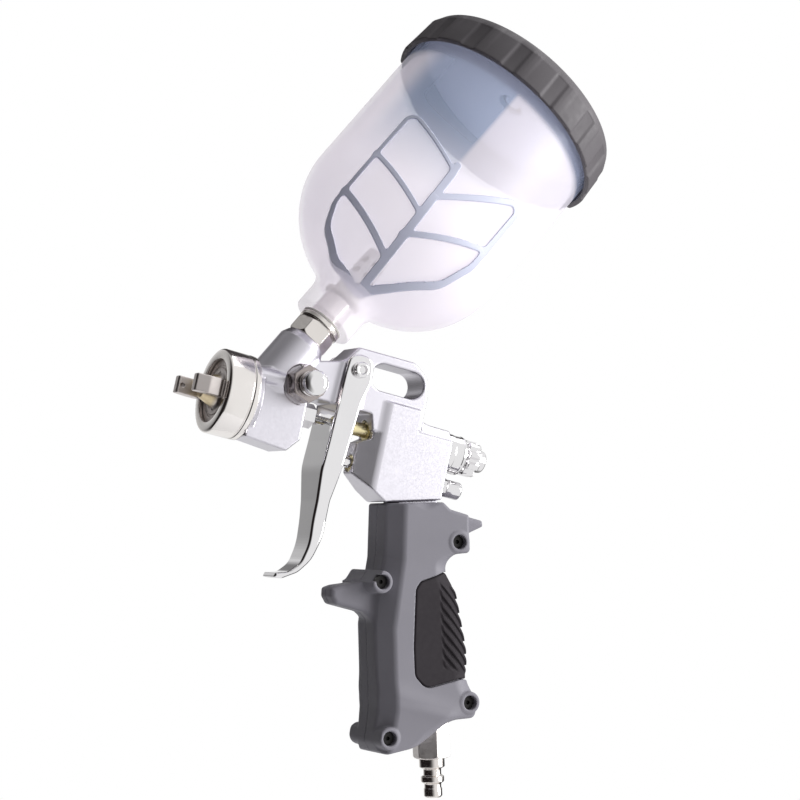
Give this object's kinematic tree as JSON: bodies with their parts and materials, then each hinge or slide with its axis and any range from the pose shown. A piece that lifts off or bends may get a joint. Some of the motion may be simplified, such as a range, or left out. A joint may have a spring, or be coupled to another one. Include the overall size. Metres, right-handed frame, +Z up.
{
  "type": "hvlp spray gun",
  "caption": "Gravity-feed HVLP spray gun with tilted translucent cup, ribbed lid, pistol grip, hooked trigger, horned air cap and adjustment knobs.",
  "frame": {"origin": "centre of the spray outlet, where the needle axis meets the air cap ring's front plane", "axes": "-X is the spray direction, +Z is up with the gun held upright, and -Y is the gun's left side, which carries the fan control"},
  "size_m": [0.1637, 0.1012, 0.3269],
  "materials": {
    "die_cast": "satin cast aluminium with a lilac cast, machined faces slightly brighter",
    "nickel": "bright nickel plate",
    "chrome": "mirror-bright chrome plate",
    "steel": "turned stainless steel",
    "brass": "turned brass",
    "zinc": "zinc-plated steel",
    "cup_plastic": "milky translucent polypropylene",
    "lid_plastic": "matte charcoal moulded plastic",
    "grip_plastic": "fine-textured charcoal moulded plastic",
    "grip_rubber": "soft matte rubber",
    "seal": "white PTFE and foam seals",
    "black_screw": "blackened steel"
  },
  "bodies": {
    "gun_body": {"body_casting": "die_cast", "fluid_nozzle": "steel", "air_baffle": "brass", "nozzle_gasket": "seal", "needle_spring": "steel", "needle_packing": "seal", "packing_nut": "chrome", "needle_housing": "chrome", "valve_gland": "brass", "valve_seat": "brass", "valve_spring": "steel", "air_screw_bush": "chrome", "fan_gland": "chrome", "pivot_pin": "chrome", "pivot_screw": "chrome", "cup_nipple": "nickel", "cup_gasket": "seal", "handle_left": "grip_plastic", "handle_right": "grip_plastic", "grip_pad_left": "grip_rubber", "grip_pad_right": "grip_rubber", "handle_screws": "black_screw", "air_tube": "steel", "inlet_washer": "nickel", "inlet_coupling": "nickel", "inlet_plug": "nickel"},
    "air_cap_clip": {"air_cap_clip": "steel"},
    "air_cap": {"air_cap": "nickel"},
    "air_cap_ring": {"air_cap_ring": "nickel"},
    "needle": {"needle": "steel", "needle_collar": "brass"},
    "valve_stem": {"valve_stem": "chrome"},
    "trigger": {"trigger": "chrome"},
    "knob_seat": {"knob_seat": "steel"},
    "fluid_knob": {"fluid_knob": "chrome"},
    "air_screw_ring": {"air_screw_ring": "seal"},
    "air_screw": {"air_screw": "chrome"},
    "fan_ring": {"fan_ring": "seal"},
    "fan_knob": {"fan_spindle": "steel", "fan_knob": "chrome"},
    "cup_strainer": {"cup_strainer": "seal"},
    "cup": {"cup": "cup_plastic"},
    "lid_liner": {"lid_liner": "seal"},
    "lid": {"lid": "lid_plastic"},
    "lid_vent": {"lid_vent": "lid_plastic"}
  },
  "joints": [
    {"name": "trigger_pull", "type": "hinge", "parent": "gun_body", "child": "trigger", "pos_m": [0.0575, 0, 0.0225], "axis": [0, -1, 0], "range_deg": [0, 12], "stiffness_Nm_per_rad": 2, "springref_deg": -17.19},
    {"name": "needle_travel", "type": "slide", "parent": "gun_body", "child": "needle", "axis": [1, 0, 0], "range_m": [0, 0.005], "deforming": ["needle_spring"]},
    {"name": "air_valve_travel", "type": "slide", "parent": "gun_body", "child": "valve_stem", "axis": [1, 0, 0], "range_m": [0, 0.008], "deforming": ["valve_spring"]},
    {"name": "cap_ring_lift", "type": "slide", "parent": "gun_body", "child": "air_cap_clip", "axis": [-1, 0, 0], "range_m": [0, 0.003]},
    {"name": "cap_ring_turn", "type": "hinge", "parent": "air_cap_clip", "child": "air_cap_ring", "pos_m": [0, 0, 0], "axis": [-1, 0, 0], "range_deg": [0, 720]},
    {"name": "air_cap_turn", "type": "hinge", "parent": "air_cap_clip", "child": "air_cap", "pos_m": [0, 0, 0], "axis": [1, 0, 0], "range_deg": [-90, 90]},
    {"name": "fluid_knob_lift", "type": "slide", "parent": "gun_body", "child": "knob_seat", "axis": [1, 0, 0], "range_m": [0, 0.002]},
    {"name": "fluid_knob_turn", "type": "hinge", "parent": "knob_seat", "child": "fluid_knob", "pos_m": [0.118, 0, 0], "axis": [1, 0, 0], "range_deg": [0, 720]},
    {"name": "air_screw_lift", "type": "slide", "parent": "gun_body", "child": "air_screw_ring", "axis": [1, 0, 0], "range_m": [0, 0.002]},
    {"name": "air_screw_turn", "type": "hinge", "parent": "air_screw_ring", "child": "air_screw", "pos_m": [0.11, 0, -0.0147], "axis": [1, 0, 0], "range_deg": [0, 720]},
    {"name": "fan_control_lift", "type": "slide", "parent": "gun_body", "child": "fan_ring", "axis": [0, -1, 0], "range_m": [0, 0.002]},
    {"name": "fan_control_turn", "type": "hinge", "parent": "fan_ring", "child": "fan_knob", "pos_m": [0.0342, 0, 0.0105], "axis": [0, -1, 0], "range_deg": [0, 720]},
    {"name": "cup_lift", "type": "slide", "parent": "gun_body", "child": "cup_strainer", "axis": [0.4944, 0, 0.8692], "range_m": [0, 0.0045]},
    {"name": "cup_turn", "type": "hinge", "parent": "cup_strainer", "child": "cup", "pos_m": [0.04338, 0, 0.04346], "axis": [0.4944, 0, 0.8692], "range_deg": [0, 1080]},
    {"name": "lid_lift", "type": "slide", "parent": "cup", "child": "lid_liner", "axis": [0.4944, 0, 0.8692], "range_m": [0, 0.006]},
    {"name": "lid_turn", "type": "hinge", "parent": "lid_liner", "child": "lid", "pos_m": [0.10038, 0, 0.14368], "axis": [0.4944, 0, 0.8692], "range_deg": [0, 540]},
    {"name": "lid_vent_lift", "type": "slide", "parent": "lid", "child": "lid_vent", "axis": [0.4944, 0, 0.8692], "range_m": [0, 0.003]}
  ],
  "couplings": [
    {"joint": "needle_travel", "follows": "trigger_pull", "m_per_rad": 0.0225},
    {"joint": "air_valve_travel", "follows": "trigger_pull", "m_per_rad": 0.0365},
    {"joint": "cap_ring_turn", "follows": "cap_ring_lift", "rad_per_m": 4188.8},
    {"joint": "fluid_knob_turn", "follows": "fluid_knob_lift", "rad_per_m": 6283.2},
    {"joint": "air_screw_turn", "follows": "air_screw_lift", "rad_per_m": 6283.2},
    {"joint": "fan_control_turn", "follows": "fan_control_lift", "rad_per_m": 6283.2},
    {"joint": "cup_turn", "follows": "cup_lift", "rad_per_m": 4188.8},
    {"joint": "lid_turn", "follows": "lid_lift", "rad_per_m": 1570.8}
  ]
}
